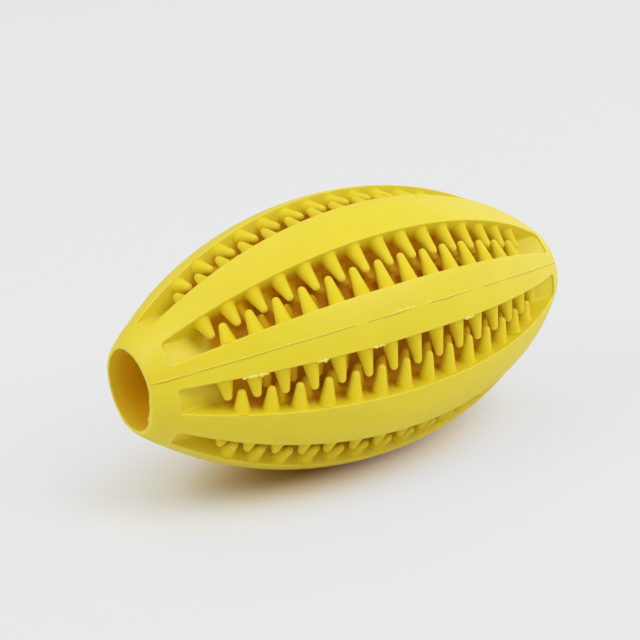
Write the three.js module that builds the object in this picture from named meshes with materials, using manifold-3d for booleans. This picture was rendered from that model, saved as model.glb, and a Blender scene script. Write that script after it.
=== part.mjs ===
// Dog dental chew toy: a hollow rubber ball drawn out like a rugby ball, open at both cut ends.
// Ribs run from end to end like melon slices. Between each two ribs lies a deep groove, and
// both walls of the groove carry two layers of blunt conical teeth that mesh like a zip.
// Lengths are in millimetres and angles in degrees. The toy lies along X with its mouth at -X,
// resting on the two lowest ribs, and the origin is on the floor under its middle.

import * as THREE from 'three';
import { mergeVertices } from 'three/addons/utils/BufferGeometryUtils.js';
import Module from 'manifold-3d';

const wasm = await Module();
wasm.setup();

// Body
const BODY_LENGTH = 128;
const BODY_DIAMETER = 70;
const MOUTH_BORE = 20.6;
const RIM_WALL = 0.9;
const CHAMBER_WALL = 3;

// Ribs and grooves
const RIB_COUNT = 8;
const GROOVE_ANGLE = 23;
const GROOVE_DEPTH = 12.5;
const RAMP_LENGTH = 11;
const COLLAR_LENGTH = 5.4;
const POCKET_REACH = 2.6;
const POCKET_CORNER = 1;
const POCKET_STEP = 0.6;

// Teeth
const TOOTH_PITCH = 7.26;
const TOOTH_ROOT_DIAMETER = 4.2;
const TOOTH_TIP_DIAMETER = 2.1;
const TOOTH_TIP_ROUNDING = 0.8;
const OUTER_ROW_DEPTH = 3.1;
const OUTER_OVERLAP = 1.25;
const OUTER_ROW_SHIFT = 1;
const INNER_ROW_DEPTH = 9.6;
const INNER_ROW_END_DEPTH = 5.1;
const INNER_OVERLAP = 0.5;
const LEAST_ROW_SPACING = 3.1;
const COMB_BACKING = 1.2;

// Clearance kept between neighbouring solids
const FIT_GAP = 0.3;

// Fineness of the facets
const BOW_STEPS = 8;
const ROUND_SEGMENTS = 24;
const CROWN_STEPS = 2;
const OUTER_TOOTH_SIDES = 6;
const INNER_TOOTH_SIDES = 5;
const CORNER_STEPS = 2;

// Rubber colours, by part
const RIB_YELLOW = 0xe4d441;
const TOOTH_YELLOW = 0xdcc832;
const CHAMBER_YELLOW = 0xb98a12;

// Sizes that follow from the driving dimensions
const bodyRadius = BODY_DIAMETER / 2;
const halfLength = BODY_LENGTH / 2;
const boreRadius = MOUTH_BORE / 2;
const grooveHalfAngle = THREE.MathUtils.degToRad(GROOVE_ANGLE / 2);
const ribStep = (2 * Math.PI) / RIB_COUNT;
const ribHalfAngle = ribStep / 2 - grooveHalfAngle;
const grooveEnd = halfLength - COLLAR_LENGTH;
const rampStart = grooveEnd - RAMP_LENGTH;
const splitPlane = grooveEnd - POCKET_REACH;
const staveEnd = splitPlane - FIT_GAP;
const restHeight = bodyRadius * Math.cos(grooveHalfAngle);

// A circular arc bowed outwards: its radius about the toy's axis is middle at x = 0 and end at x = reach.
function bow(middle, reach, end) {
  const rise = middle - end;
  const arcRadius = (reach * reach + rise * rise) / (2 * rise);
  const centre = middle - arcRadius;
  const radiusAt = (x) => Math.sqrt(arcRadius * arcRadius - x * x) + centre;
  return { arcRadius, centre, radiusAt };
}

const skin = bow(bodyRadius, halfLength, boreRadius + RIM_WALL);
const floorMiddle = bodyRadius - GROOVE_DEPTH;
const floorBow = bow(floorMiddle, rampStart, boreRadius + CHAMBER_WALL);
const chamberBow = bow(floorMiddle - CHAMBER_WALL, rampStart, boreRadius);
const outerRowArc = skin.arcRadius - OUTER_ROW_DEPTH;

// The groove's floor is bowed along its middle and ramps up at both ends, to a small step below the skin.
function floorRadius(x) {
  const reach = Math.abs(x);
  if (reach <= rampStart) {
    return floorBow.radiusAt(reach);
  }
  const share = (reach - rampStart) / RAMP_LENGTH;
  return THREE.MathUtils.lerp(floorBow.radiusAt(rampStart), skin.radiusAt(grooveEnd) - POCKET_STEP, share);
}

// The treat chamber is bowed like the floor and ends in straight necks of the mouth's bore.
function chamberRadius(x) {
  const reach = Math.abs(x);
  return reach <= rampStart ? chamberBow.radiusAt(reach) : boreRadius;
}

// Places along the toy where the long surfaces have a ring of corners.
function bowStations() {
  const stations = [-staveEnd];
  for (let i = 0; i <= BOW_STEPS; i += 1) {
    stations.push(rampStart * ((2 * i) / BOW_STEPS - 1));
  }
  stations.push(staveEnd);
  return stations;
}

const stations = bowStations();

function toManifold(geometry) {
  const bare = geometry.clone();
  bare.deleteAttribute('normal');
  bare.deleteAttribute('uv');
  const merged = mergeVertices(bare, 1e-5);
  return new wasm.Manifold(new wasm.Mesh({
    numProp: 3,
    vertProperties: new Float32Array(merged.attributes.position.array),
    triVerts: new Uint32Array(merged.index.array),
  }));
}

function toGeometry(manifold) {
  const mesh = manifold.getMesh();
  const geometry = new THREE.BufferGeometry();
  geometry.setAttribute('position', new THREE.BufferAttribute(new Float32Array(mesh.vertProperties), 3));
  geometry.setIndex(new THREE.BufferAttribute(new Uint32Array(mesh.triVerts), 1));
  return geometry;
}

// A closed solid through a row of like sections, each a loop that runs clockwise seen from -X.
function loft(sections) {
  const count = sections[0].length;
  const positions = sections.flat().flatMap((point) => [point.x, point.y, point.z]);
  const index = [];
  for (let s = 0; s + 1 < sections.length; s += 1) {
    for (let i = 0; i < count; i += 1) {
      const a = s * count + i;
      const b = s * count + ((i + 1) % count);
      index.push(a, a + count, b, b, a + count, b + count);
    }
  }
  const last = (sections.length - 1) * count;
  for (let i = 1; i + 1 < count; i += 1) {
    index.push(0, i, i + 1);
    index.push(last, last + i + 1, last + i);
  }
  const geometry = new THREE.BufferGeometry();
  geometry.setAttribute('position', new THREE.Float32BufferAttribute(positions, 3));
  geometry.setIndex(index);
  return geometry;
}

// A solid of revolution about X, from a closed loop of [x, radius] points.
function revolve(loop) {
  const points = loop.map(([x, radius]) => new THREE.Vector2(radius, x));
  points.push(points[0].clone());
  const geometry = new THREE.LatheGeometry(points, ROUND_SEGMENTS);
  geometry.rotateZ(-Math.PI / 2);
  return geometry;
}

// Treat chamber: the barrel that forms the groove floors outside and holds treats inside.
function chamberWall() {
  const outside = stations.map((x) => [x, floorRadius(x)]);
  const inside = stations.map((x) => [x, chamberRadius(x)]).reverse();
  return revolve([...inside, ...outside]);
}

// The near end of one groove, as the block of space that it cuts out of a collar.
function pocketCutter() {
  const rampTop = floorRadius(grooveEnd);
  const rampRise = rampTop - floorRadius(rampStart);
  const rampAngle = Math.atan2(rampRise, RAMP_LENGTH);
  const width = (x) => skin.radiusAt(x) * Math.tan(grooveHalfAngle);
  const wide = width(rampStart);
  const narrow = width(grooveEnd);
  const outline = new THREE.Shape();
  outline.moveTo(-RAMP_LENGTH, -wide);
  outline.lineTo(-POCKET_CORNER, -narrow);
  outline.absarc(-POCKET_CORNER, POCKET_CORNER - narrow, POCKET_CORNER, -Math.PI / 2, 0, false);
  outline.absarc(-POCKET_CORNER, narrow - POCKET_CORNER, POCKET_CORNER, 0, Math.PI / 2, false);
  outline.lineTo(-RAMP_LENGTH, wide);
  const geometry = new THREE.ExtrudeGeometry(outline, {
    depth: GROOVE_DEPTH,
    bevelEnabled: false,
    curveSegments: CORNER_STEPS,
  });
  geometry.rotateY(-rampAngle);
  geometry.translate(grooveEnd, 0, rampTop);
  return geometry;
}

// Collar: the plain ring round one open end, with the shallow end of each groove cut into it.
function collar() {
  const ring = [
    [splitPlane, boreRadius],
    [splitPlane, skin.radiusAt(splitPlane)],
    [halfLength, skin.radiusAt(halfLength)],
    [halfLength, boreRadius],
  ];
  let solid = toManifold(revolve(ring));
  const cutter = pocketCutter();
  for (let i = 0; i < RIB_COUNT; i += 1) {
    const turned = cutter.clone().rotateX(i * ribStep);
    solid = solid.subtract(toManifold(turned));
  }
  return toGeometry(solid);
}

// Rib: a stave with a round crown, whose flanks stand back from the groove walls to seat the combs.
function rib() {
  const setBack = COMB_BACKING + FIT_GAP;
  const sections = stations.map((x) => {
    const crown = skin.radiusAt(x);
    const foot = floorRadius(x) + FIT_GAP;
    const crownHalf = ribHalfAngle - Math.asin(setBack / crown);
    const footHalf = ribHalfAngle - Math.asin(setBack / foot);
    const at = (radius, angle) => new THREE.Vector3(x, radius * Math.sin(angle), radius * Math.cos(angle));
    const loop = [];
    for (let i = 0; i <= CROWN_STEPS; i += 1) {
      loop.push(at(crown, crownHalf * ((2 * i) / CROWN_STEPS - 1)));
    }
    loop.push(at(foot, footHalf), at(foot, -footHalf));
    return loop;
  });
  return loft(sections);
}

// Tooth: a blunt cone along +Y, whose root is sunk half the comb's backing into it.
function tooth(length, sides) {
  const profile = [
    new THREE.Vector2(0, -COMB_BACKING / 2),
    new THREE.Vector2(TOOTH_ROOT_DIAMETER / 2, -COMB_BACKING / 2),
    new THREE.Vector2(TOOTH_TIP_DIAMETER / 2, length - TOOTH_TIP_ROUNDING),
    new THREE.Vector2(0, length),
  ];
  return new THREE.LatheGeometry(profile, sides);
}

// Feet of one row of teeth on a groove wall, as [x, radius] points a pitch apart along the skin.
// A row with a tooth at mid-length has an odd count, and the row that meshes with it an even one.
function rowFeet(radiusAt, reach, toothAtMiddle) {
  const pitchAngle = TOOTH_PITCH / skin.arcRadius;
  const feet = [];
  for (let i = toothAtMiddle ? 0 : 0.5; ; i += 1) {
    const x = outerRowArc * Math.sin(i * pitchAngle);
    if (x > reach) {
      break;
    }
    feet.push([x, radiusAt(x)]);
    if (i > 0) {
      feet.push([-x, radiusAt(x)]);
    }
  }
  return feet;
}

// The outer row follows the skin. The inner row is bowed less, so it comes nearer to the skin at its ends.
function outerRowRadius(x) {
  return Math.sqrt(outerRowArc * outerRowArc - x * x) + skin.centre;
}

const innerEnd = skin.radiusAt(rampStart) - INNER_ROW_END_DEPTH;
const innerBow = bow(bodyRadius - INNER_ROW_DEPTH, rampStart, innerEnd);

// Two rows fit as far along the groove as the inner one stays clear under the outer one.
function innerRowReach() {
  const step = TOOTH_PITCH / 10;
  let reach = 0;
  while (reach < rampStart && outerRowRadius(reach) - innerBow.radiusAt(reach) > LEAST_ROW_SPACING) {
    reach += step;
  }
  return reach;
}

// Comb: the slice of rib flank along one groove wall, with its two rows of teeth.
// It is made with the wall in the XZ plane and the teeth along +Y, and its outer row is moved along X.
function comb(toothAtMiddle, outerShift) {
  const outline = new THREE.Shape();
  stations.forEach((x, i) => {
    const crown = skin.radiusAt(x);
    if (i === 0) {
      outline.moveTo(x, crown);
    } else {
      outline.lineTo(x, crown);
    }
  });
  [...stations].reverse().forEach((x) => outline.lineTo(x, floorRadius(x) + FIT_GAP));
  const backing = new THREE.ExtrudeGeometry(outline, { depth: COMB_BACKING, bevelEnabled: false });
  backing.rotateX(Math.PI / 2);
  let solid = toManifold(backing);

  const outerRow = {
    feet: rowFeet(outerRowRadius, rampStart, toothAtMiddle),
    shift: outerShift,
    overlap: OUTER_OVERLAP,
    sides: OUTER_TOOTH_SIDES,
  };
  const innerRow = {
    feet: rowFeet(innerBow.radiusAt, innerRowReach(), !toothAtMiddle),
    shift: 0,
    overlap: INNER_OVERLAP,
    sides: INNER_TOOTH_SIDES,
  };
  [outerRow, innerRow].forEach(({ feet, shift, overlap, sides }) => {
    feet.forEach(([x, radius]) => {
      const length = radius * Math.tan(grooveHalfAngle) + overlap;
      const shape = tooth(length, sides).translate(x + shift, 0, radius);
      solid = solid.add(toManifold(shape));
    });
  });
  return toGeometry(solid);
}

function rubber(colour, roughness) {
  return new THREE.MeshStandardMaterial({ color: colour, roughness, metalness: 0 });
}

const toy = new THREE.Group();
toy.position.z = restHeight;

function place(name, geometry, material, turn = 0) {
  const mesh = new THREE.Mesh(geometry, material);
  mesh.name = name;
  mesh.rotation.x = turn;
  toy.add(mesh);
  return mesh;
}

place('treat_chamber', chamberWall(), rubber(CHAMBER_YELLOW, 0.6));

const collarGeometry = collar();
place('tail_collar', collarGeometry, rubber(RIB_YELLOW, 0.5));
place('mouth_collar', collarGeometry, rubber(RIB_YELLOW, 0.5)).rotation.z = Math.PI;

// A comb turned into place on the groove's left or right wall, seen from the mouth with the groove on top.
function leftComb(toothAtMiddle) {
  return comb(toothAtMiddle, OUTER_ROW_SHIFT).rotateZ(Math.PI).rotateX(-grooveHalfAngle);
}

function rightComb(toothAtMiddle) {
  return comb(toothAtMiddle, -OUTER_ROW_SHIFT).rotateX(grooveHalfAngle);
}

// The long comb is always on the wall towards the first rib, so the two halves of the toy mirror each other.
const ribGeometry = rib();
const firstHalf = { long: leftComb(true), short: rightComb(false) };
const secondHalf = { long: rightComb(true), short: leftComb(false) };
for (let i = 0; i < RIB_COUNT; i += 1) {
  const number = i + 1;
  const halfCombs = i >= 1 && i <= RIB_COUNT / 2 ? firstHalf : secondHalf;
  place(`rib_${number}`, ribGeometry, rubber(RIB_YELLOW, 0.5), (i + 0.5) * ribStep);
  place(`groove_${number}_long_comb`, halfCombs.long, rubber(TOOTH_YELLOW, 0.5), i * ribStep);
  place(`groove_${number}_short_comb`, halfCombs.short, rubber(TOOTH_YELLOW, 0.5), i * ribStep);
}

export default toy;
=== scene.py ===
import math

import bpy
import numpy as np
from mathutils import Matrix, Vector


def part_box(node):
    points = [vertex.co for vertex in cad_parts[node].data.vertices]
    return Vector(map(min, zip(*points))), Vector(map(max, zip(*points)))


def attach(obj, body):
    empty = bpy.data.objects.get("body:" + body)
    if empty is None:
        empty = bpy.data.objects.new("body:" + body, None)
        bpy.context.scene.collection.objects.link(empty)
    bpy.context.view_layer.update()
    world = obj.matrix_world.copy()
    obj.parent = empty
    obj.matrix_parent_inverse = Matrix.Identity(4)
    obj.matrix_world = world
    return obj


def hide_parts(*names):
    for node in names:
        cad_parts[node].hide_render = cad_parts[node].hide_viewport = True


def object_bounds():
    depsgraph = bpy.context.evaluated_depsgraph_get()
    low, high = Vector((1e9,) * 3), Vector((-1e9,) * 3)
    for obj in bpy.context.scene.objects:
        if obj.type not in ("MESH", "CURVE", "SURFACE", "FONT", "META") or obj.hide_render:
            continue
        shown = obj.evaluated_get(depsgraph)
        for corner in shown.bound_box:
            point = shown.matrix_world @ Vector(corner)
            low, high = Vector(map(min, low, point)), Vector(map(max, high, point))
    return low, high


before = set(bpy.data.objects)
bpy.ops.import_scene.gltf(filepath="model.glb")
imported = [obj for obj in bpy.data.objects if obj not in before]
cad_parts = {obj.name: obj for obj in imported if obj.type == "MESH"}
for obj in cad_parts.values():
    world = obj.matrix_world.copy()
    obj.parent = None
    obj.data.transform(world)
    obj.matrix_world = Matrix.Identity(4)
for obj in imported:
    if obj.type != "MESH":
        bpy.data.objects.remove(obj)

cad_low, cad_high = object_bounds()


# Camera: a long lens from the front left, a little above the toy and tipped a few degrees. Its
# place was fitted to the rims, rib edges and tooth tips of the photograph.
MM = 0.001
PHOTO_WIDTH = 640
FOCAL_PIXELS = 1716.4
SENSOR_WIDTH = 36.0
CAMERA_AZIMUTH = math.radians(-32.91)
CAMERA_ELEVATION = math.radians(20.0)
CAMERA_TIP = math.radians(-4.23)
CAMERA_DISTANCE = 447.7 * MM
CAMERA_ASIDE = -6.43 * MM
CAMERA_RAISE = 1.20 * MM

chamber_low, chamber_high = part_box("treat_chamber")
axis_height = (chamber_low[2] + chamber_high[2]) / 2
toy_middle = Vector((0, 0, axis_height))

backward = Vector((
    math.sin(CAMERA_AZIMUTH) * math.cos(CAMERA_ELEVATION),
    -math.cos(CAMERA_AZIMUTH) * math.cos(CAMERA_ELEVATION),
    math.sin(CAMERA_ELEVATION),
))
level = Vector((math.cos(CAMERA_AZIMUTH), math.sin(CAMERA_AZIMUTH), 0))
upright = backward.cross(level)
rightward = level * math.cos(CAMERA_TIP) + upright * math.sin(CAMERA_TIP)
upward = upright * math.cos(CAMERA_TIP) - level * math.sin(CAMERA_TIP)

camera = bpy.data.objects.new("camera", bpy.data.cameras.new("camera"))
camera.data.sensor_width = SENSOR_WIDTH
camera.data.lens = FOCAL_PIXELS * SENSOR_WIDTH / PHOTO_WIDTH
camera.data.clip_start = 10 * MM
camera.matrix_world = Matrix.Translation(
    toy_middle + rightward * CAMERA_ASIDE + upward * CAMERA_RAISE + backward * CAMERA_DISTANCE
) @ Matrix((rightward, upward, backward)).transposed().to_4x4()
bpy.context.collection.objects.link(camera)
bpy.context.scene.camera = camera


# Moulded body: one shot of yellow rubber, pressed in a two-part mould round a core. Melon-slice
# ribs run from end to end over a barrel-shaped treat chamber, and a plain collar rings each end.
# It is modelled as one groove with half a rib on each side, and repeated round the toy's axis.
RIB_COUNT = 8
GROOVE_HALF_ANGLE = math.radians(11.5)
GROOVE_DEPTH = 12.5 * MM
COLLAR_LENGTH = 5.4 * MM
RAMP_LENGTH = 11 * MM
RAMP_BLEND = 4 * MM
POCKET_CORNER = 1 * MM
BORE_RADIUS = 10.3 * MM
RIM_WALL = 0.9 * MM
CHAMBER_WALL = 3 * MM
RIM_ROUNDING = 0.22 * MM
EDGE_SOFTNESS = 0.42 * MM
FLOOR_SOFTNESS = 1.3 * MM
END_STEP = 1.1 * MM
# Painted highlight: a pale line along the rounded edges of ribs, pockets and rims.
EDGE_LINE = 0.34 * MM
MIDDLE_HIGHLIGHT = 0.3
END_HIGHLIGHT = 0.65
HIGHLIGHT_GROWTH = 4
RIM_HIGHLIGHT = (0.1, 0.3, 0.4, 0.4, 0.2)
RIM_TRIM = 0.4 * MM
RIM_WAVE_LENGTH = 7 * MM
RIM_RAGGED = 0.45 * MM
RIM_NICK_LENGTH = 2.2 * MM
WELD_DISTANCE = 0.002 * MM

SIDE_STEPS = 40
CORNER_STEPS = 8
END_STEPS = 3
SKIN_STEPS = 4
NECK_STEPS = 4
CHAMBER_STEPS = 16
NEAR_EDGE = np.array([0.05, 0.14, 0.26, 0.4, 0.6, 0.95]) * MM
NEAR_FLOOR = np.array([0.15, 0.4, 0.7, 1.0, 1.4]) * MM
SKIN_MARGIN = 2 * MM
WALL_SHARES = (0.33, 0.67)
ROUNDING_SAMPLES = 13
ROUNDING_SPAN = 1.3

half_length = float(cad_high[0])
body_radius = float(cad_high[1]) / math.cos(GROOVE_HALF_ANGLE)
sector_half = math.pi / RIB_COUNT
groove_end = half_length - COLLAR_LENGTH
ramp_start = groove_end - RAMP_LENGTH


def bow(middle, reach, end):
    """Arc radius and centre of a bowed line, middle off the axis at x = 0 and end at x = reach."""
    rise = middle - end
    radius = (reach * reach + rise * rise) / (2 * rise)
    return radius, middle - radius


def on_bow(x, arc):
    return np.sqrt(arc[0] ** 2 - np.square(x)) + arc[1]


skin_bow = bow(body_radius, half_length, BORE_RADIUS + RIM_WALL)
floor_bow = bow(body_radius - GROOVE_DEPTH, ramp_start, BORE_RADIUS + CHAMBER_WALL)
chamber_bow = bow(body_radius - GROOVE_DEPTH - CHAMBER_WALL, ramp_start, BORE_RADIUS)


def floor_radius(x):
    """The groove's floor: bowed along the middle, running softly into a ramp at each end."""
    deep = on_bow(x, floor_bow)
    share = (np.abs(x) - ramp_start) / RAMP_LENGTH
    ramp_foot = BORE_RADIUS + CHAMBER_WALL
    ramp = ramp_foot + share * (on_bow(groove_end, skin_bow) - END_STEP - ramp_foot)
    return (deep + ramp + np.sqrt((deep - ramp) ** 2 + RAMP_BLEND ** 2)) / 2


def groove_outline():
    """A quarter of the groove's edge, from mid-length round the pocket's corner to its end.
    For each point: x, turn from the groove's middle, its outward direction, and its place on
    the border of the sector as x and turn."""
    corner_x = groove_end - POCKET_CORNER
    border_x = half_length - RIM_ROUNDING
    end_radius = on_bow(groove_end, skin_bow)
    half_width = GROOVE_HALF_ANGLE * end_radius
    points = []
    for step in range(SIDE_STEPS):
        x = corner_x * step / SIDE_STEPS
        points.append((x, GROOVE_HALF_ANGLE, 0, 1, x, sector_half))
    half_corner = CORNER_STEPS // 2
    across = CORNER_STEPS - half_corner + END_STEPS
    for step in range(CORNER_STEPS):
        turn = math.pi / 2 * step / CORNER_STEPS
        x = corner_x + POCKET_CORNER * math.sin(turn)
        lateral = half_width - POCKET_CORNER * (1 - math.cos(turn))
        along = min(step / half_corner, 1)
        past = max(step - half_corner, 0) / across
        points.append((
            x, lateral / end_radius, math.sin(turn), math.cos(turn),
            corner_x + (border_x - corner_x) * along, sector_half * (1 - past),
        ))
    for step in range(END_STEPS + 1):
        lateral = (half_width - POCKET_CORNER) * (1 - step / END_STEPS)
        past = (CORNER_STEPS - half_corner + step) / across
        points.append((groove_end, lateral / end_radius, 1, 0, border_x, sector_half * (1 - past)))
    return np.array(points).T


def groove_rings():
    """Rings of x, turn, radius and edge from the sector's border over the rib's edge to the
    groove's floor. The wall's section is a bent line, and averaging along it rounds its bends.
    Where the wall is low, its rings crowd together."""
    x_edge, turn_edge, along, across, x_border, turn_border = groove_outline()
    height = np.maximum(on_bow(x_edge, skin_bow) - floor_radius(x_edge), 0)
    edge_crowding = np.minimum(1, height / (4 * NEAR_EDGE[-1]))
    floor_crowding = np.minimum(1, height / (2 * NEAR_FLOOR[-1]))

    def bent_line(run):
        inset = np.maximum(run - height, 0)
        outset = np.maximum(-run, 0)
        x_floor = x_edge - inset * along
        depth = np.clip(run, 0, height)
        floor_depth = np.maximum(on_bow(x_floor, skin_bow) - floor_radius(x_floor), 0)
        return outset - inset, np.where(run > height, floor_depth, depth)

    def rounded(run, softness=EDGE_SOFTNESS):
        weights = np.cos(np.linspace(-ROUNDING_SPAN, ROUNDING_SPAN, ROUNDING_SAMPLES))
        shifts = np.linspace(-1, 1, ROUNDING_SAMPLES)
        samples = [bent_line(run + shift * softness) for shift in shifts]
        offset = sum(w * s[0] for w, s in zip(weights, samples)) / weights.sum()
        depth = sum(w * s[1] for w, s in zip(weights, samples)) / weights.sum()
        x = x_edge + offset * along
        radius = on_bow(x, skin_bow) - depth
        # The edge value is a painted highlight along the rounded edge, stronger towards the groove's
        # ends.
        nearness = (x_edge / groove_end) ** HIGHLIGHT_GROWTH
        painted_light = MIDDLE_HIGHLIGHT + (END_HIGHLIGHT - MIDDLE_HIGHLIGHT) * nearness
        edge = np.exp(-(run / EDGE_LINE) ** 2) * painted_light
        return x, turn_edge + offset * across / radius, radius, edge

    near_edge = [near * edge_crowding for near in NEAR_EDGE]
    near_floor = [near * floor_crowding for near in NEAR_FLOOR]
    wall_top, wall_foot = near_edge[-1], height - near_floor[-1]
    wall = [wall_top + (wall_foot - wall_top) * share for share in WALL_SHARES]
    rings = [rounded(0 * height - out) for out in (SKIN_MARGIN, *NEAR_EDGE[::-1])]
    rings += [rounded(run) for run in near_edge + wall]
    foot = [height - near for near in near_floor[::-1]] + [height + near for near in near_floor]
    rings += [rounded(run, FLOOR_SOFTNESS * floor_crowding) for run in foot]

    x_skin, turn_skin, _, _ = rings[0]
    outer = []
    for step in range(SKIN_STEPS):
        share = step / SKIN_STEPS
        x = x_border + (x_skin - x_border) * share
        turn = turn_border + (turn_skin - turn_border) * share
        outer.append((x, turn, on_bow(x, skin_bow), 0 * x))
    x_floor, turn_floor, _, _ = rings[-1]
    x_line = np.minimum(x_floor, x_floor[SIDE_STEPS] - POCKET_CORNER)
    inner = []
    for share in (0.5, 1.0):
        x = x_floor + (x_line - x_floor) * share
        inner.append((x, turn_floor * (1 - share), floor_radius(x), 0 * x))
    return outer + rings + inner


def whole_ring(quarter):
    """A quarter ring mirrored to all four quarters, without doubled points."""
    def mirrored(values, across, along):
        back = values[-2::-1]
        return np.concatenate(
            (values, across * back, across * along * values[1:], along * back[:-1]),
        )

    x, turn, radius, edge = quarter
    return (
        mirrored(x, 1, -1), mirrored(turn, -1, 1), mirrored(radius, 1, 1), mirrored(edge, 1, 1),
    )


def bore_profile():
    """x, radius and edge from the border at one end, over the rim, through the neck and chamber."""
    rim_radius = on_bow(half_length, skin_bow)
    border_x = half_length - RIM_ROUNDING
    # The last value in each rim row is its painted highlight.
    rim = [
        (border_x, on_bow(border_x, skin_bow), RIM_HIGHLIGHT[0]),
        (half_length - 0.3 * RIM_ROUNDING, rim_radius - 0.1 * RIM_ROUNDING, RIM_HIGHLIGHT[1]),
        (half_length, rim_radius - RIM_ROUNDING, RIM_HIGHLIGHT[2]),
        (half_length, BORE_RADIUS + RIM_ROUNDING, RIM_HIGHLIGHT[3]),
        (half_length - 0.3 * RIM_ROUNDING, BORE_RADIUS + 0.3 * RIM_ROUNDING, RIM_HIGHLIGHT[4]),
        (border_x, BORE_RADIUS, 0),
    ]
    neck = [
        (border_x + (ramp_start - border_x) * step / NECK_STEPS, BORE_RADIUS, 0)
        for step in range(1, NECK_STEPS)
    ]
    hollow = [
        (x, on_bow(x, chamber_bow), 0)
        for x in np.linspace(ramp_start, 0, CHAMBER_STEPS, endpoint=False)
    ]
    half = rim + neck + hollow
    other_half = [(-x, radius, edge) for x, radius, edge in reversed(half)]
    return half + [(0, on_bow(0, chamber_bow), 0)] + other_half


def smooth_mesh(name, points, faces, edges):
    """A smooth mesh, with each point's edge value kept for the rubber's painted edge highlight."""
    mesh = bpy.data.meshes.new(name)
    mesh.from_pydata(points, [], faces)
    mesh.polygons.foreach_set("use_smooth", [True] * len(faces))
    mesh.attributes.new("edge", "FLOAT", "POINT").data.foreach_set("value", edges)
    return mesh


def sector_mesh():
    """One groove, half a rib on each side, the rims and the chamber's wall, open to its neighbours."""
    rings = [whole_ring(ring) for ring in groove_rings()]
    count = len(rings[0][0])
    points = [np.stack((x, r * np.sin(turn), r * np.cos(turn)), -1) for x, turn, r, _ in rings]
    edges = [ring[3] for ring in rings]
    faces = []
    for ring in range(len(rings) - 1):
        for i in range(count):
            a, b = ring * count + i, ring * count + (i + 1) % count
            faces.append((a, a + count, b + count, b))
    start = len(rings) * count
    border_steps = CORNER_STEPS - CORNER_STEPS // 2 + END_STEPS
    turns = np.linspace(-sector_half, sector_half, 2 * border_steps + 1)
    profile = bore_profile()
    for x, radius, edge in profile:
        row_points = (0 * turns + x, radius * np.sin(turns), radius * np.cos(turns))
        points.append(np.stack(row_points, -1))
        edges.append(0 * turns + edge)
    for row in range(len(profile) - 1):
        for i in range(len(turns) - 1):
            a = start + row * len(turns) + i
            faces.append((a, a + len(turns), a + len(turns) + 1, a + 1))
    points = np.concatenate(points).tolist()
    return smooth_mesh("groove_sector", points, faces, np.concatenate(edges))


class Wire:
    """A socket of a node tree. Arithmetic on it adds Math nodes, and node() adds any other node."""

    def __init__(self, tree, socket=None):
        self.tree = tree
        self.socket = socket

    def node(self, kind, settings=None, values=None, out=0):
        made = self.tree.nodes.new(kind)
        for name, setting in (settings or {}).items():
            setattr(made, name, setting)
        for key, value in (values or {}).items():
            if isinstance(value, Wire):
                self.tree.links.new(value.socket, made.inputs[key])
            else:
                made.inputs[key].default_value = value
        return Wire(self.tree, made.outputs[out]) if len(made.outputs) else None

    def math(self, operation, *terms):
        return self.node("ShaderNodeMath", {"operation": operation}, dict(enumerate(terms)))

    def __add__(self, other):
        return self.math("ADD", self, other)

    def __sub__(self, other):
        return self.math("SUBTRACT", self, other)

    def __mul__(self, other):
        return self.math("MULTIPLY", self, other)

    def __truediv__(self, other):
        return self.math("DIVIDE", self, other)

    def __pow__(self, other):
        return self.math("POWER", self, other)

    def __rsub__(self, other):
        return self.math("SUBTRACT", other, self)

    __radd__ = __add__
    __rmul__ = __mul__


def node_tool(name, sockets):
    """An empty Geometry Nodes tree with these named inputs, and a Wire to build it with."""
    tree = bpy.data.node_groups.new(name, "GeometryNodeTree")
    tree.interface.new_socket("Geometry", in_out="INPUT", socket_type="NodeSocketGeometry")
    for label, kind in sockets.items():
        tree.interface.new_socket(label, in_out="INPUT", socket_type="NodeSocket" + kind)
    tree.interface.new_socket("Geometry", in_out="OUTPUT", socket_type="NodeSocketGeometry")
    return Wire(tree)


def run_tool(tool, name, mesh, sizes):
    """A new piece: the tool's result on this mesh and these sizes, as a plain mesh."""
    piece = bpy.data.objects.new(name, mesh)
    bpy.context.collection.objects.link(piece)
    modifier = piece.modifiers.new("shape", "NODES")
    modifier.node_group = tool.tree
    for socket in tool.tree.interface.items_tree:
        if socket.in_out == "INPUT" and socket.name in sizes:
            modifier[socket.identifier] = sizes[socket.name]
    graph = bpy.context.evaluated_depsgraph_get()
    made = bpy.data.meshes.new_from_object(piece.evaluated_get(graph), depsgraph=graph)
    made.name = name
    piece.modifiers.remove(modifier)
    piece.data = made
    return piece


BROAD_CLOUDS = 22 * MM
BLOTCHES = 4 * MM
FINE_GRAIN = 0.45 * MM
CLOUD_ROUGHNESS = 0.55
STREAKS = 4.0
BROAD_SHARE, BLOTCH_SHARE, STREAK_SHARE = 0.6, 0.4, 0.3
CLOUD_MIDDLE = 0.51
CLOUD_CONTRAST = 3.2
FINE_RELIEF, BLOTCH_RELIEF, STREAK_RELIEF = 0.7, 0.5, 1.2
GRAIN_STRENGTH = 0.35
BLOTCH_DULLNESS, FINE_DULLNESS, MEAN_DULLNESS = 0.16, 0.08, 0.12
DEEP_DULLNESS = 0.45
# Painted shade: amber down in the grooves, growing with depth.
PAINTED_GROOVE_SHADE = (0.80, 0.40, 0.003, 1)
GROOVE_SHADE_RAGGED = 1.5 * MM
GROOVE_SHADE_ENDS = (ramp_start + 1 * MM, ramp_start - 3 * MM)
# Painted shade: golden inside the bore.
PAINTED_BORE_SHADE = (0.90, 0.47, 0.002, 1)
BORE_SHADE_SHARE = 0.9
BORE_SKIN = 0.3 * MM
BORE_ENDS = (half_length + 4 * MM, half_length - 8 * MM)
# Painted shade: golden on the inner row of teeth.
PAINTED_INNER_SHADE = (0.95, 0.56, 0.003, 1)
INNER_ROW_SHADE_SHARE = 0.8
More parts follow.
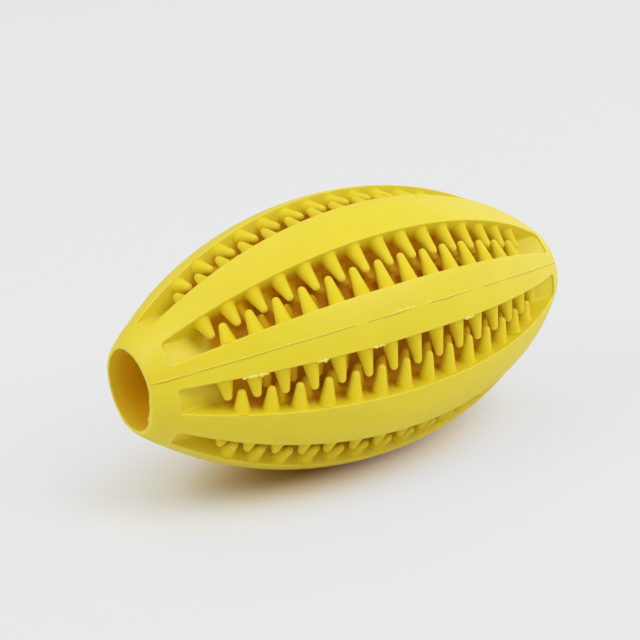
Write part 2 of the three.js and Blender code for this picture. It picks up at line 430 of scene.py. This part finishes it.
# Painted highlight: a pale line along rounded edges, rims and tooth tips.
EDGE_HIGHLIGHT = (0.86, 0.77, 0.12, 1)
EDGE_HIGHLIGHT_SHARE = 0.55
# Painted shadow: the dark line beside the seam, where the edge value is below zero.
PAINTED_SHADOW = (0.50, 0.32, 0.003, 1)


def rubber(name, light, deep, sheen, roughness, grain, groove_shade_depths):
    """Pressed rubber: clouded yellow, with painted shade for the dim light that arrives mostly
    through the rubber: amber down in the grooves, golden in the bore and on the inner teeth. Edges
    get a painted highlight, and where the edge value is below zero, a painted shadow. It has a fine
    skin grain and a satin sheen."""
    material = bpy.data.materials.new(name)
    material.use_nodes = True
    tree = material.node_tree
    shader = tree.nodes["Principled BSDF"]
    shader.inputs["Specular IOR Level"].default_value = sheen
    wire = Wire(tree)
    place = wire.node("ShaderNodeTexCoord", out="Object")
    along, aside, up = [
        wire.node("ShaderNodeSeparateXYZ", values={0: place}, out=axis) for axis in "XYZ"
    ]
    lift = up - axis_height
    from_axis = wire.math("SQRT", aside * aside + lift * lift)
    from_middle = wire.math("ABSOLUTE", along)
    depth = wire.math("SQRT", skin_bow[0] ** 2 - along * along) + skin_bow[1] - from_axis

    def cloud(size, detail):
        values = {"Vector": place, "Scale": 1 / size, "Detail": detail, "Roughness": CLOUD_ROUGHNESS}
        return wire.node("ShaderNodeTexNoise", values=values)

    def kept(attribute, out):
        return wire.node("ShaderNodeAttribute", {"attribute_name": attribute}, out=out)

    def blend(share, first, second):
        settings = {"data_type": "RGBA", "clamp_factor": True}
        return wire.node("ShaderNodeMix", settings, {0: share, 6: first, 7: second}, out=2)

    def ramp(value, start, end):
        values = {"Value": value, "From Min": start, "From Max": end}
        return wire.node("ShaderNodeMapRange", {"interpolation_type": "SMOOTHSTEP"}, values)

    broad = cloud(BROAD_CLOUDS, 2)
    blotch = cloud(BLOTCHES, 3)
    fine = cloud(FINE_GRAIN, 2)
    streak = wire.node(
        "ShaderNodeTexNoise",
        values={"Vector": kept("around", "Vector"), "Scale": STREAKS, "Detail": 2.0},
    )
    edge = kept("edge", "Fac")
    # Painted shade on the inner row of teeth.
    inner_row = kept("inner_row", "Fac") * INNER_ROW_SHADE_SHARE
    # Painted shade: the colour turns amber with depth down the grooves.
    groove_shade = ramp(depth + (blotch - 0.5) * GROOVE_SHADE_RAGGED, *groove_shade_depths)
    groove_shade = groove_shade * ramp(from_middle, *GROOVE_SHADE_ENDS)
    # Painted shade: golden inside the bore, growing from the rim inwards.
    bore_shade = ramp(from_axis, BORE_RADIUS + BORE_SKIN, BORE_RADIUS) * BORE_SHADE_SHARE
    bore_shade = bore_shade * ramp(from_middle, *BORE_ENDS)

    clouds = broad * BROAD_SHARE + blotch * BLOTCH_SHARE + streak * STREAK_SHARE
    skin = blend((clouds - CLOUD_MIDDLE) * CLOUD_CONTRAST, (*light, 1), (*deep, 1))
    colour = blend(bore_shade, blend(groove_shade, skin, PAINTED_GROOVE_SHADE), PAINTED_BORE_SHADE)
    colour = blend(inner_row, colour, PAINTED_INNER_SHADE)
    # Painted highlight where the edge value is above zero.
    colour = blend(edge * EDGE_HIGHLIGHT_SHARE, colour, EDGE_HIGHLIGHT)
    # Painted shadow where the edge value is below zero.
    colour = blend(edge * -1, colour, PAINTED_SHADOW)
    relief = fine * FINE_RELIEF + blotch * BLOTCH_RELIEF + streak * STREAK_RELIEF
    bump = wire.node(
        "ShaderNodeBump", values={"Strength": GRAIN_STRENGTH, "Distance": grain, "Height": relief},
    )
    dullness = blotch * BLOTCH_DULLNESS + fine * FINE_DULLNESS
    dullness = dullness + groove_shade * DEEP_DULLNESS + (roughness - MEAN_DULLNESS)
    tree.links.new(colour.socket, shader.inputs["Base Color"])
    tree.links.new(dullness.socket, shader.inputs["Roughness"])
    tree.links.new(bump.socket, shader.inputs["Normal"])
    return material


body_rubber = rubber(
    "body_rubber", light=(0.795, 0.652, 0.018), deep=(0.765, 0.612, 0.012),
    sheen=0.50, roughness=0.48, grain=0.05 * MM, groove_shade_depths=(1.2 * MM, 6.4 * MM),
)

sector_tool = node_tool("ribs_round_axis", {
    "Ribs": "Int", "Axis Height": "Float", "Material": "Material",
    "Rim From": "Float", "Rim Trim": "Float", "Rim Ragged": "Float",
})
given = "NodeGroupInput"
spots = sector_tool.node("GeometryNodeMeshLine", values={
    "Count": sector_tool.node(given, out="Ribs"), "Offset": (0, 0, 0),
})
rib_turn = sector_tool.node("GeometryNodeInputIndex") * 2 * math.pi
rib_turn = rib_turn / sector_tool.node(given, out="Ribs")
sectors = sector_tool.node("GeometryNodeInstanceOnPoints", values={
    "Points": spots,
    "Instance": sector_tool.node(given, out="Geometry"),
    "Rotation": sector_tool.node("ShaderNodeCombineXYZ", values={"X": rib_turn}),
})
welded = sector_tool.node("GeometryNodeMergeByDistance", values={
    "Geometry": sector_tool.node("GeometryNodeRealizeInstances", values={"Geometry": sectors}),
    "Distance": WELD_DISTANCE,
})
spot = sector_tool.node("GeometryNodeInputPosition")
spot_x, spot_y, spot_z = [
    sector_tool.node("ShaderNodeSeparateXYZ", values={0: spot}, out=axis) for axis in "XYZ"
]
rim_from = sector_tool.node(given, out="Rim From")
at_rim = spot_x.math("GREATER_THAN", spot_x.math("ABSOLUTE", spot_x), rim_from)


def rim_noise(length):
    values = {"Vector": spot, "Scale": 1 / length, "Detail": 1.0}
    return sector_tool.node("ShaderNodeTexNoise", values=values)


trim = rim_noise(RIM_WAVE_LENGTH) * at_rim * sector_tool.node(given, out="Rim Trim")
cut_back = spot_x.math("SIGN", spot_x) * trim * -1
nick = (rim_noise(RIM_NICK_LENGTH) - 0.5) * at_rim
nick = nick * sector_tool.node(given, out="Rim Ragged") / BORE_RADIUS
trimmed = sector_tool.node("GeometryNodeSetPosition", values={
    "Geometry": welded,
    "Offset": sector_tool.node("ShaderNodeCombineXYZ", values={
        "X": cut_back,
        "Y": spot_y * nick,
        "Z": spot_z * nick + sector_tool.node(given, out="Axis Height"),
    }),
})
sector_tool.node("NodeGroupOutput", values={
    0: sector_tool.node("GeometryNodeSetMaterial", values={
        "Geometry": trimmed, "Material": sector_tool.node(given, out="Material"),
    }),
})
moulded_body = run_tool(sector_tool, "moulded_body", sector_mesh(), {
    "Ribs": RIB_COUNT, "Axis Height": axis_height, "Rim From": half_length - 2 * RIM_ROUNDING,
    "Rim Trim": RIM_TRIM, "Rim Ragged": RIM_RAGGED, "Material": body_rubber,
})
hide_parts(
    "treat_chamber", "mouth_collar", "tail_collar",
    *[f"rib_{number}" for number in range(1, RIB_COUNT + 1)],
)
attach(moulded_body, "root")


# Teeth: blunt rubber cones moulded onto both walls of each groove, in an outer and a deeper inner
# row. The rows of facing walls are half a pitch apart, so that their tips mesh like a zip. The wall
# with the longer rows is the one towards rib 1, so the two halves of the toy mirror each other.
TOOTH_PITCH = 7.26 * MM
OUTER_ROW_DEPTH = 3.1 * MM
OUTER_OVERLAP = 1.25 * MM
OUTER_ROW_SHIFT = 1 * MM
INNER_ROW_DEPTH = 9.6 * MM
INNER_ROW_END_DEPTH = 5.1 * MM
INNER_OVERLAP = 0.5 * MM
LEAST_ROW_SPACING = 3.1 * MM
ROOT_RADIUS = 2.02 * MM
NECK_RADIUS = 1.06 * MM
MODEL_LENGTH = 7.5 * MM
ROOT_FILLET = 0.6 * MM
ROOT_SUNK = 0.06 * MM
TOOTH_SIDES = 12
# Painted highlight on the teeth's necks and tips.
NECK_HIGHLIGHT = 0.25
TIP_HIGHLIGHT = 0.4
REACH_STATIONS = 200
LEAN_SPREAD = 0.03
LENGTH_SPREAD = (0.97, 1.02)
SEED_STRIDE = 7

tooth_spread = skin_bow[0] - OUTER_ROW_DEPTH
outer_row_bow = (tooth_spread, skin_bow[1])
inner_row_end = float(on_bow(ramp_start, skin_bow)) - INNER_ROW_END_DEPTH
inner_row_bow = bow(body_radius - INNER_ROW_DEPTH, ramp_start, inner_row_end)


def tooth_mesh():
    """A blunt cone along +Y with a flared root and a domed tip. Each point keeps its direction round
    the tooth, for the fine streaks that the cutter left in the mould."""
    profile = [
        (ROOT_RADIUS + 1.2 * ROOT_FILLET, -ROOT_SUNK, 0),
        (ROOT_RADIUS + 0.8 * ROOT_FILLET, 0, 0),
        (ROOT_RADIUS + 0.4 * ROOT_FILLET, 0.14 * ROOT_FILLET, 0),
        (ROOT_RADIUS + 0.08 * ROOT_FILLET, 0.6 * ROOT_FILLET, 0),
        (NECK_RADIUS, MODEL_LENGTH - 0.95 * NECK_RADIUS, NECK_HIGHLIGHT),
        (0.82 * NECK_RADIUS, MODEL_LENGTH - 0.42 * NECK_RADIUS, TIP_HIGHLIGHT),
        (0.44 * NECK_RADIUS, MODEL_LENGTH - 0.08 * NECK_RADIUS, TIP_HIGHLIGHT),
    ]
    points, edges, faces = [], [], []
    for radius, height, edge in profile:
        for side in range(TOOTH_SIDES):
            turn = 2 * math.pi * side / TOOTH_SIDES
            points.append((radius * math.sin(turn), height, radius * math.cos(turn)))
            edges.append(edge)
    for ring in range(len(profile) - 1):
        for side in range(TOOTH_SIDES):
            a, b = ring * TOOTH_SIDES + side, ring * TOOTH_SIDES + (side + 1) % TOOTH_SIDES
            faces.append((a, b, b + TOOTH_SIDES, a + TOOTH_SIDES))
    faces.append(tuple(range(TOOTH_SIDES))[::-1])
    faces.append(tuple(range(len(points) - TOOTH_SIDES, len(points))))
    mesh = smooth_mesh("tooth", points, faces, edges)
    round_tooth = np.array([(x, z, 0) for x, _, z in points])
    round_tooth /= np.linalg.norm(round_tooth, axis=1, keepdims=True)
    around = mesh.attributes.new("around", "FLOAT_VECTOR", "POINT")
    around.data.foreach_set("vector", round_tooth.ravel())
    return mesh


def teeth_in_row(reach, tooth_at_middle):
    """How many teeth a row has that stays within reach of mid-length."""
    pitch = TOOTH_PITCH / skin_bow[0]
    share = 0 if tooth_at_middle else 0.5
    last = math.floor(math.asin(reach / tooth_spread) / pitch - share)
    return 2 * last + (1 if tooth_at_middle else 2)


def inner_reach():
    """How far along the groove there is room for the inner row under the outer one."""
    stations = np.linspace(0, ramp_start, REACH_STATIONS)
    room = on_bow(stations, outer_row_bow) - on_bow(stations, inner_row_bow)
    return stations[room > LEAST_ROW_SPACING].max()


row_sizes = {
    "Pitch": "Float", "Spread": "Float", "Half Angle": "Float", "Side": "Float",
    "Turn": "Float", "Axis Height": "Float", "Seed": "Int", "Material": "Material",
    "Outer Count": "Int", "Outer Shift": "Float", "Outer Overlap": "Float",
    "Outer Bow": "Float", "Outer Centre": "Float",
    "Inner Count": "Int", "Inner Shift": "Float", "Inner Overlap": "Float",
    "Inner Bow": "Float", "Inner Centre": "Float",
}
comb_tool = node_tool("tooth_rows_on_wall", row_sizes)


def tooth_row(label, inner):
    """Teeth a pitch apart along a bowed line on the wall, each as long as the groove is wide."""
    count = comb_tool.node(given, out=label + " Count")
    arc = comb_tool.node(given, out=label + " Bow")
    centre = comb_tool.node(given, out=label + " Centre")
    half_angle = comb_tool.node(given, out="Half Angle")
    side = comb_tool.node(given, out="Side")
    step = comb_tool.node("GeometryNodeInputIndex") - (count - 1) / 2
    along = comb_tool.math("SINE", step * comb_tool.node(given, out="Pitch"))
    x = along * comb_tool.node(given, out="Spread")
    radius = comb_tool.math("SQRT", arc * arc - x * x) + centre
    foot = comb_tool.node("ShaderNodeCombineXYZ", values={
        "X": x + comb_tool.node(given, out=label + " Shift"),
        "Y": radius * comb_tool.math("SINE", half_angle) * side,
        "Z": radius * comb_tool.math("COSINE", half_angle),
    })
    half_width = radius * comb_tool.math("TANGENT", half_angle)
    length = half_width + comb_tool.node(given, out=label + " Overlap")

    def chance(low, high, salt):
        return comb_tool.node("FunctionNodeRandomValue", {"data_type": "FLOAT"}, {
            2: low, 3: high, "Seed": comb_tool.node(given, out="Seed") * SEED_STRIDE + salt,
        }, out=1)

    lean = (side + 1) * (math.pi / 2) - half_angle * side + chance(-LEAN_SPREAD, LEAN_SPREAD, 1)
    skew = chance(-LEAN_SPREAD, LEAN_SPREAD, 2)
    stretch = length / MODEL_LENGTH * chance(*LENGTH_SPREAD, 3)
    feet = comb_tool.node("GeometryNodeSetPosition", values={
        "Geometry": comb_tool.node(
            "GeometryNodeMeshLine", values={"Count": count, "Offset": (0, 0, 0)},
        ),
        "Position": foot,
    })
    row = comb_tool.node("GeometryNodeInstanceOnPoints", values={
        "Points": feet,
        "Instance": comb_tool.node(given, out="Geometry"),
        "Rotation": comb_tool.node("ShaderNodeCombineXYZ", values={"X": lean, "Z": skew}),
        "Scale": comb_tool.node("ShaderNodeCombineXYZ", values={"X": 1.0, "Y": stretch, "Z": 1.0}),
    })
    # The inner row is marked for the painted shade that the rubber gives it.
    return comb_tool.node("GeometryNodeStoreNamedAttribute", values={
        "Geometry": comb_tool.node("GeometryNodeRealizeInstances", values={"Geometry": row}),
        "Name": "inner_row", "Value": inner,
    })


both_rows = comb_tool.node("GeometryNodeJoinGeometry")
join = both_rows.socket.node
for label, inner in (("Inner", 1.0), ("Outer", 0.0)):
    comb_tool.tree.links.new(tooth_row(label, inner).socket, join.inputs[0])
axis_lift = comb_tool.node(given, out="Axis Height")
groove_turn = comb_tool.node(given, out="Turn")
turned = comb_tool.node("GeometryNodeTransform", values={
    "Geometry": comb_tool.node("GeometryNodeRealizeInstances", values={"Geometry": both_rows}),
    "Translation": comb_tool.node("ShaderNodeCombineXYZ", values={"Z": axis_lift}),
    "Rotation": comb_tool.node("ShaderNodeCombineXYZ", values={"X": groove_turn}),
})
comb_tool.node("NodeGroupOutput", values={
    0: comb_tool.node("GeometryNodeSetMaterial", values={
        "Geometry": turned, "Material": comb_tool.node(given, out="Material"),
    }),
})

tooth_rubber = rubber(
    "tooth_rubber", light=(0.805, 0.635, 0.016), deep=(0.780, 0.595, 0.012),
    sheen=0.14, roughness=0.55, grain=0.04 * MM, groove_shade_depths=(8 * MM, 14 * MM),
)
tooth = tooth_mesh()
for number in range(1, RIB_COUNT + 1):
    long_side = 1 if 2 <= number <= RIB_COUNT / 2 + 1 else -1
    for wall, side, tooth_at_middle in (("long", long_side, True), ("short", -long_side, False)):
        teeth = run_tool(comb_tool, f"groove_{number}_{wall}_teeth", tooth, {
            "Pitch": TOOTH_PITCH / skin_bow[0], "Spread": tooth_spread,
            "Half Angle": GROOVE_HALF_ANGLE, "Side": float(side),
            "Turn": 2 * sector_half * (number - 1), "Axis Height": axis_height,
            "Seed": 2 * number + side, "Material": tooth_rubber,
            "Outer Count": teeth_in_row(ramp_start, tooth_at_middle),
            "Outer Shift": -OUTER_ROW_SHIFT, "Outer Overlap": OUTER_OVERLAP,
            "Outer Bow": outer_row_bow[0], "Outer Centre": outer_row_bow[1],
            "Inner Count": teeth_in_row(inner_reach(), not tooth_at_middle),
            "Inner Shift": 0.0, "Inner Overlap": INNER_OVERLAP,
            "Inner Bow": inner_row_bow[0], "Inner Centre": inner_row_bow[1],
        })
        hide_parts(f"groove_{number}_{wall}_comb")
        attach(teeth, "root")


# Mould marks: a fine bead of rubber where the halves of the mould met, along one rib and the rib
# across from it, with a painted highlight on it and a thin dark bead beside it as its painted shadow.
# Thin crumbs of flash, rubber that was squeezed out of the mould, are left on the seam, on an edge of
# that rib and on the mouth's rim, paler than the body as a painted highlight.
SEAM_TURN = math.radians(22.5)
SEAM_REACH = half_length - 0.5 * MM
SEAM_SINK = 0.13 * MM
SEAM_THICKNESS = 0.22 * MM
# Painted highlight on the seam, and painted shadow beside it as a thin dark bead.
SEAM_HIGHLIGHT = 0.8
SEAM_SHADOW_ASIDE = -0.27 * MM
SEAM_SHADOW_THICKNESS = 0.18 * MM
SEAM_SHADOW_DARKNESS = -0.7
SEAM_FLASH = ((-6.6 * MM, 0.2 * MM), (3.0 * MM, 4.8 * MM))
EDGE_FLASH = (
    (-45.5 * MM, -39.6 * MM), (-28.5 * MM, -25.3 * MM),
    (-14.6 * MM, -11.0 * MM), (13.6 * MM, 17.3 * MM),
)
EDGE_FLASH_TURN = GROOVE_HALF_ANGLE
RIM_FLASH_TURNS = (math.radians(-52), math.radians(22))
RIM_FLASH_X = 0.76 * MM - half_length
BEAD_SPACING = 0.3 * MM
BEAD_SIDES = 6
BEAD_SEED_STRIDE = 7.3
WANDER_SALT = 3.1
NOISE_GAIN = 3
BLUNT_END = 0.08
THINNEST = 0.15

bead_tool = node_tool("bead_on_skin", {
    "Points": "Int", "From": "Float", "To": "Float", "From Turn": "Float", "To Turn": "Float",
    "Aside": "Float", "Sink": "Float", "Thickness": "Float", "Rough": "Float", "Lump": "Float",
    "Wander": "Float", "Taper": "Float",
    "Skin Bow": "Float", "Skin Centre": "Float", "Axis Height": "Float", "Painted Light": "Float",
    "Seed": "Int", "Material": "Material",
})


def bead_size(label):
    return bead_tool.node(given, out=label)


share = bead_tool.node("GeometryNodeInputIndex") / (bead_size("Points") - 1)


def bead_noise(salt):
    """A wave of about -1 to 1 along the bead, in lumps of the given length."""
    run = bead_tool.node("GeometryNodeInputIndex") * BEAD_SPACING / bead_size("Lump")
    wave = bead_tool.node("ShaderNodeTexNoise", {"noise_dimensions": "1D"}, {
        "W": run + bead_size("Seed") * BEAD_SEED_STRIDE + salt, "Scale": 1.0, "Detail": 2.0,
    })
    return (wave - 0.5) * NOISE_GAIN


bead_x = bead_size("From") + (bead_size("To") - bead_size("From")) * share
bead_skin = bead_tool.math("SQRT", bead_size("Skin Bow") ** 2 - bead_x * bead_x)
bead_radius = bead_skin + bead_size("Skin Centre") - bead_size("Sink")
bead_turn = bead_size("From Turn") + (bead_size("To Turn") - bead_size("From Turn")) * share
bead_aside = bead_noise(WANDER_SALT) * bead_size("Wander") + bead_size("Aside")
bead_turn = bead_turn + bead_aside / bead_radius
bead_path = bead_tool.node("GeometryNodeSetPosition", values={
    "Geometry": bead_tool.node(
        "GeometryNodeMeshLine", values={"Count": bead_size("Points"), "Offset": (0, 0, 0)},
    ),
    "Position": bead_tool.node("ShaderNodeCombineXYZ", values={
        "X": bead_x,
        "Y": bead_radius * bead_tool.math("COSINE", bead_turn) * -1,
        "Z": bead_radius * bead_tool.math("SINE", bead_turn) + bead_size("Axis Height"),
    }),
})
near_end = bead_tool.math("MINIMUM", share, 1 - share)
taper = bead_tool.math("MINIMUM", 1.0, near_end / bead_size("Taper") + BLUNT_END)
lumps = bead_tool.math("MAXIMUM", THINNEST, 1 + bead_noise(0.0) * bead_size("Rough"))
bead = bead_tool.node("GeometryNodeCurveToMesh", values={
    "Curve": bead_tool.node("GeometryNodeMeshToCurve", values={"Mesh": bead_path}),
    "Profile Curve": bead_tool.node(
        "GeometryNodeCurvePrimitiveCircle", values={"Resolution": BEAD_SIDES, "Radius": 1.0},
    ),
    "Scale": bead_size("Thickness") * taper * lumps,
    "Fill Caps": True,
})
# Each bead keeps its painted light as its edge value: a highlight above zero, a shadow below zero.
bead_with_painted_light = bead_tool.node("GeometryNodeStoreNamedAttribute", values={
    "Geometry": bead_tool.node("GeometryNodeRealizeInstances", values={"Geometry": bead}),
    "Name": "edge", "Value": bead_size("Painted Light"),
})
bead_tool.node("NodeGroupOutput", values={
    0: bead_tool.node("GeometryNodeSetMaterial", values={
        "Geometry": bead_with_painted_light, "Material": bead_size("Material"),
    }),
})


def mould_mark(
    name, seed, x, turn, sink, thickness, rough, lump, taper, material,
    aside=0.0, wander=0.0, painted_light=0.0,
):
    """One bead along the skin between two places, each given as x and turn from the camera's side."""
    length = math.hypot(x[1] - x[0], (turn[1] - turn[0]) * BORE_RADIUS)
    piece = run_tool(bead_tool, name, bpy.data.meshes.new(name), {
        "Points": round(length / BEAD_SPACING) + 2, "From": x[0], "To": x[1],
        "From Turn": turn[0], "To Turn": turn[1], "Aside": aside, "Sink": sink,
        "Thickness": thickness, "Rough": rough, "Lump": lump, "Wander": wander, "Taper": taper,
        "Skin Bow": skin_bow[0], "Skin Centre": skin_bow[1], "Axis Height": axis_height,
        "Painted Light": painted_light, "Seed": seed, "Material": material,
    })
    piece.data.polygons.foreach_set("use_smooth", [True] * len(piece.data.polygons))
    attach(piece, "root")


# Flash rubber is paler than the body: a painted highlight for the light that the thin crumbs catch.
flash_rubber = rubber(
    "flash_rubber", light=(0.88, 0.80, 0.20), deep=(0.84, 0.73, 0.10),
    sheen=0.42, roughness=0.6, grain=0.05 * MM, groove_shade_depths=(5 * MM, 7 * MM),
)
# Along each seam: a bead with a painted highlight, and a dark bead beside it as painted shadow.
for side, turn in (("near", SEAM_TURN), ("far", SEAM_TURN + math.pi)):
    for part, aside, thickness, painted_light in (
        ("seam", 0.0, SEAM_THICKNESS, SEAM_HIGHLIGHT),
        ("seam_shadow", SEAM_SHADOW_ASIDE, SEAM_SHADOW_THICKNESS, SEAM_SHADOW_DARKNESS),
    ):
        mould_mark(
            f"{side}_mould_{part}", 1, (-SEAM_REACH, SEAM_REACH), (turn, turn), SEAM_SINK, thickness,
            rough=0.45, lump=9 * MM, taper=0.02, material=body_rubber,
            aside=aside, wander=0.06 * MM, painted_light=painted_light,
        )
for number, place in enumerate(EDGE_FLASH, 1):
    mould_mark(
        f"edge_flash_{number}", 10 + number, place, (EDGE_FLASH_TURN, EDGE_FLASH_TURN),
        sink=0.25 * MM, thickness=0.36 * MM, rough=1.3, lump=1.1 * MM, taper=0.12,
        material=flash_rubber, aside=-0.1 * MM, wander=0.25 * MM,
    )
for number, place in enumerate(SEAM_FLASH, 1):
    mould_mark(
        f"seam_flash_{number}", 14 + number, place, (SEAM_TURN, SEAM_TURN),
        sink=0.2 * MM, thickness=0.32 * MM, rough=1.2, lump=0.9 * MM, taper=0.2,
        material=flash_rubber, aside=0.15 * MM, wander=0.2 * MM,
    )
# The rim's flash gets a painted highlight through its edge value.
mould_mark(
    "rim_flash", 20, (RIM_FLASH_X, RIM_FLASH_X), RIM_FLASH_TURNS,
    sink=2.0 * MM, thickness=0.56 * MM, rough=0.6, lump=2.6 * MM, taper=0.35,
    material=body_rubber, painted_light=0.7,
)


# Studio: a seamless pale table in a bright room, like a light tent, with broad soft lights at the
# front, the back and both sides. Away from the toy, the camera sees the table as plain white.
TABLE_SIZE = 8.0
TABLE_COLOUR = (0.80, 0.79, 0.76, 1)
# Painted bounce light: the table is warm yellow close under the toy.
PAINTED_BOUNCE_UNDER_TOY = (0.80, 0.58, 0.22, 1)
TABLE_LOOK = (0.80, 0.805, 0.825, 1)
TABLE_LIFT = 0.75
PAPER_ROUGHNESS = 0.75
PAPER_SHEEN = 0.1
BOUNCE_REACH = (0.35, 0.85)
SHADOW_REACH = (0.35, 1.25)
SHADOW_MIDDLE = (-14 * MM, 8 * MM)
ROOM_COLOUR = (1.05, 0.96, 0.80, 1)
ROOM_LIGHT = 0.53
SOFTBOX_COLOUR = (0.92, 1.03, 1.16)
LIGHTS = (
    ("front_softbox", (0.75, -1.40, 1.66), 1.3, 19.5),
    ("right_softbox", (1.80, 0.70, 0.64), 1.4, 4.2),
    ("low_right_softbox", (1.85, -0.50, 0.50), 1.3, 4.6),
    ("left_softbox", (-1.50, 0.20, 1.50), 1.6, 14.5),
    ("back_softbox", (0.30, 1.10, 2.00), 1.6, 5.5),
)

table_mesh = bpy.data.meshes.new("table")
reach = TABLE_SIZE / 2
corners = [(-reach, -reach, 0), (reach, -reach, 0), (reach, reach, 0), (-reach, reach, 0)]
table_mesh.from_pydata(corners, [], [(0, 1, 2, 3)])
table = bpy.data.objects.new("table", table_mesh)
bpy.context.collection.objects.link(table)
paper = bpy.data.materials.new("table_paper")
paper.use_nodes = True
sheet = paper.node_tree.nodes["Principled BSDF"]
sheet.inputs["Roughness"].default_value = PAPER_ROUGHNESS
sheet.inputs["Specular IOR Level"].default_value = PAPER_SHEEN
wire = Wire(paper.node_tree)
rays = ("Camera", "Glossy", "Transmission")
seen = sum((wire.node("ShaderNodeLightPath", out=f"Is {ray} Ray") for ray in rays), 0)
table_place = wire.node("ShaderNodeTexCoord", out="Object")
table_x, table_y = [
    wire.node("ShaderNodeSeparateXYZ", values={0: table_place}, out=axis) for axis in "XY"
]


def beyond(middle, limits):
    """A mask over the table, 0 within the near limit from this middle and 1 beyond the far one.
    The limits are shares of half the toy's length and of its radius."""
    off_x, off_y = (table_x - middle[0]) / half_length, (table_y - middle[1]) / body_radius
    off = wire.math("SQRT", off_x ** 2 + off_y ** 2)
    values = {"Value": off, "From Min": limits[0], "From Max": limits[1]}
    return wire.node("ShaderNodeMapRange", {"interpolation_type": "SMOOTHSTEP"}, values)


away = beyond(SHADOW_MIDDLE, SHADOW_REACH)
# Painted bounce light from the toy: warm on the table close under it.
painted_bounce = wire.node("ShaderNodeMix", {"data_type": "RGBA"}, {
    0: beyond((0, 0), BOUNCE_REACH), 6: PAINTED_BOUNCE_UNDER_TOY, 7: TABLE_COLOUR,
}, out=2)
paper.node_tree.links.new(painted_bounce.socket, sheet.inputs["Base Color"])
lifted = wire.node("ShaderNodeMixShader", values={
    0: seen * away * TABLE_LIFT,
    1: Wire(paper.node_tree, sheet.outputs[0]),
    2: wire.node("ShaderNodeEmission", values={"Color": TABLE_LOOK, "Strength": 1.0}),
})
paper.node_tree.links.new(lifted.socket, paper.node_tree.nodes["Material Output"].inputs["Surface"])
table_mesh.materials.append(paper)

for name, place, size, power in LIGHTS:
    light = bpy.data.objects.new(name, bpy.data.lights.new(name, "AREA"))
    light.data.shape = "DISK"
    light.data.size = size
    light.data.energy = power
    light.data.color = SOFTBOX_COLOUR
    light.location = place
    light.rotation_euler = (toy_middle - light.location).to_track_quat("-Z", "Y").to_euler()
    bpy.context.collection.objects.link(light)

room = bpy.data.worlds.new("room")
room.use_nodes = True
room.node_tree.nodes["Background"].inputs["Color"].default_value = ROOM_COLOUR
room.node_tree.nodes["Background"].inputs["Strength"].default_value = ROOM_LIGHT
bpy.context.scene.world = room
bpy.context.scene.view_settings.view_transform = "Standard"
